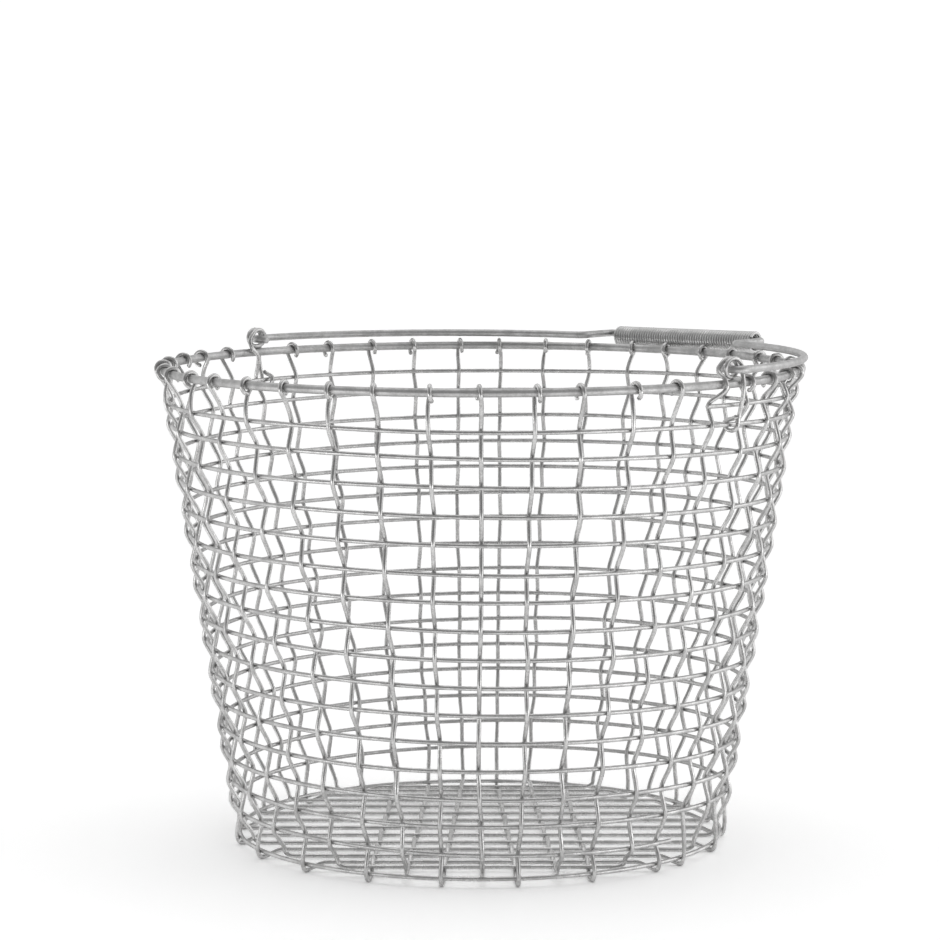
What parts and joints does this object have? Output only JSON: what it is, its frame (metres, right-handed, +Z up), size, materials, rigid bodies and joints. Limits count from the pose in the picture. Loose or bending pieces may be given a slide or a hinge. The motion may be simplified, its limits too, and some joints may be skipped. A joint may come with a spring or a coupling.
{
  "type": "wire basket",
  "caption": "Round tapered basket hand-woven from galvanised wire, with a heavier rim and a wire bail that swings in two wound eyes and has a coiled grip.",
  "frame": {"origin": "under the middle of the whole basket with its bail at rest, on the surface that it stands on; the axis of the woven part is 6 mm from it towards -Y", "axes": "+Z up, +X along the bail's hinge line, +Y towards the side of the rim that the bail lies on at rest"},
  "size_m": [0.3976, 0.4027, 0.3016],
  "materials": {
    "stake_wire": "satin galvanised",
    "weaver_wire": "satin galvanised",
    "hoop_wire": "satin galvanised",
    "rim_wire": "satin galvanised",
    "bail_wire": "satin galvanised",
    "grip_wire": "dull galvanised"
  },
  "bodies": {
    "basket": {"stake_depth_01": "stake_wire", "stake_depth_02": "stake_wire", "stake_depth_03": "stake_wire", "stake_depth_04": "stake_wire", "stake_depth_05": "stake_wire", "stake_depth_06": "stake_wire", "stake_odd": "stake_wire", "stake_cross_01": "stake_wire", "stake_cross_02": "stake_wire", "stake_cross_03": "stake_wire", "stake_cross_04": "stake_wire", "stake_cross_05": "stake_wire", "stake_cross_06": "stake_wire", "stake_cross_07": "stake_wire", "stake_cross_08": "stake_wire", "stake_cross_09": "stake_wire", "stake_cross_10": "stake_wire", "stake_cross_11": "stake_wire", "stake_cross_12": "stake_wire", "stake_cross_13": "stake_wire", "stake_cross_14": "stake_wire", "weaver_turn_01": "weaver_wire", "weaver_turn_02": "weaver_wire", "weaver_turn_03": "weaver_wire", "weaver_turn_04": "weaver_wire", "weaver_turn_05": "weaver_wire", "weaver_turn_06": "weaver_wire", "weaver_turn_07": "weaver_wire", "weaver_turn_08": "weaver_wire", "weaver_turn_09": "weaver_wire", "weaver_turn_10": "weaver_wire", "weaver_turn_11": "weaver_wire", "weaver_turn_12": "weaver_wire", "weaver_turn_13": "weaver_wire", "weaver_turn_14": "weaver_wire", "weaver_turn_15": "weaver_wire", "weaver_turn_16": "weaver_wire", "base_hoop": "hoop_wire", "rim": "rim_wire"},
    "bail": {"bail": "bail_wire"},
    "grip": {"grip_coil": "grip_wire"}
  },
  "joints": [
    {"name": "bail_hinge", "type": "hinge", "parent": "basket", "child": "bail", "pos_m": [0, -0.00599, 0.29419], "axis": [1, 0, 0], "range_deg": [0, 180]},
    {"name": "grip_spin", "type": "hinge", "parent": "bail", "child": "grip", "pos_m": [0, 0.19473, 0.29248], "axis": [1, 0, 0], "continuous": true}
  ]
}
